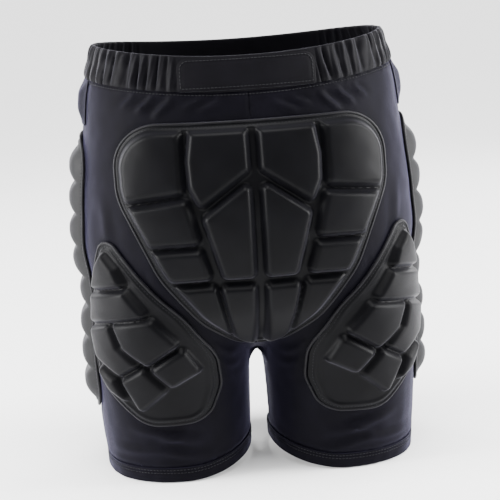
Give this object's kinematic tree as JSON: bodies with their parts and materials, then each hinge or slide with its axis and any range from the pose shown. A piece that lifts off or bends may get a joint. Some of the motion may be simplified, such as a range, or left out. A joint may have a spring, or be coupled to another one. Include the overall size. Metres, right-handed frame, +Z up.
{
  "type": "padded impact shorts",
  "caption": "Stretch shorts with moulded foam pads over the seat, hips and backs of the thighs, a gathered elastic waist and a hook-and-loop waist tab.",
  "frame": {"origin": "on the plane that the leg hems stand on, under the middle of the overall box", "axes": "+Z up from the hems to the waistband, -Y towards the wearer's front, +X towards the wearer's left side"},
  "size_m": [0.3994, 0.2752, 0.4801],
  "materials": {
    "shell_fabric": "matt black four-way stretch knit with a faint blue-violet sheen",
    "mesh_fabric": "dark grey perforated mesh with a diagonal hole pattern",
    "yoke_fabric": "matt black stretch knit over a thin pad",
    "hem_fabric": "matt black stretch knit, turned up and twin stitched",
    "waistband_fabric": "matt black woven casing, gathered over elastic",
    "elastic": "black braided waist elastic",
    "closure_fabric": "matt black woven tab with box stitching",
    "hook_tape": "black moulded hook tape",
    "loop_tape": "black brushed loop tape",
    "foam": "charcoal closed-cell EVA foam",
    "pad_backing": "dark spacer fabric",
    "pad_cover": "matt black knit heat-moulded over foam blocks",
    "piping": "black corded piping"
  },
  "bodies": {
    "shorts": {"back_leg_panel_left": "shell_fabric", "back_leg_panel_right": "shell_fabric", "back_waist_patch": "waistband_fabric", "closure_anchor": "closure_fabric", "crotch_gusset": "shell_fabric", "front_centre_panel": "shell_fabric", "front_leg_panel_left": "shell_fabric", "front_leg_panel_right": "shell_fabric", "hip_crest_pad_left": "foam", "hip_crest_pad_right": "foam", "hip_yoke_left": "yoke_fabric", "hip_yoke_right": "yoke_fabric", "leg_hem_left": "hem_fabric", "leg_hem_right": "hem_fabric", "mesh_strip_left": "mesh_fabric", "mesh_strip_right": "mesh_fabric", "seat_pad_backing": "pad_backing", "seat_pad_cover": "pad_cover", "seat_pad_foam": "foam", "seat_pad_piping": "piping", "side_pad_backing_left": "pad_backing", "side_pad_backing_right": "pad_backing", "side_pad_cover_left": "pad_cover", "side_pad_cover_right": "pad_cover", "side_pad_foam_left": "foam", "side_pad_foam_right": "foam", "side_pad_piping_left": "piping", "side_pad_piping_right": "piping", "thigh_pad_backing_left": "pad_backing", "thigh_pad_backing_right": "pad_backing", "thigh_pad_cover_left": "pad_cover", "thigh_pad_cover_right": "pad_cover", "thigh_pad_foam_left": "foam", "thigh_pad_foam_right": "foam", "thigh_pad_piping_left": "piping", "thigh_pad_piping_right": "piping", "waist_elastic": "elastic", "waist_loop_strip": "loop_tape", "waistband_casing": "waistband_fabric"},
    "closure_tab": {"closure_tab": "closure_fabric", "closure_hook_strip": "hook_tape"}
  },
  "joints": [
    {"name": "closure_tab_hinge", "type": "hinge", "parent": "shorts", "child": "closure_tab", "pos_m": [0.046, -0.12795, 0.45], "axis": [0, 0.1644, 0.9864], "range_deg": [0, 150]}
  ]
}
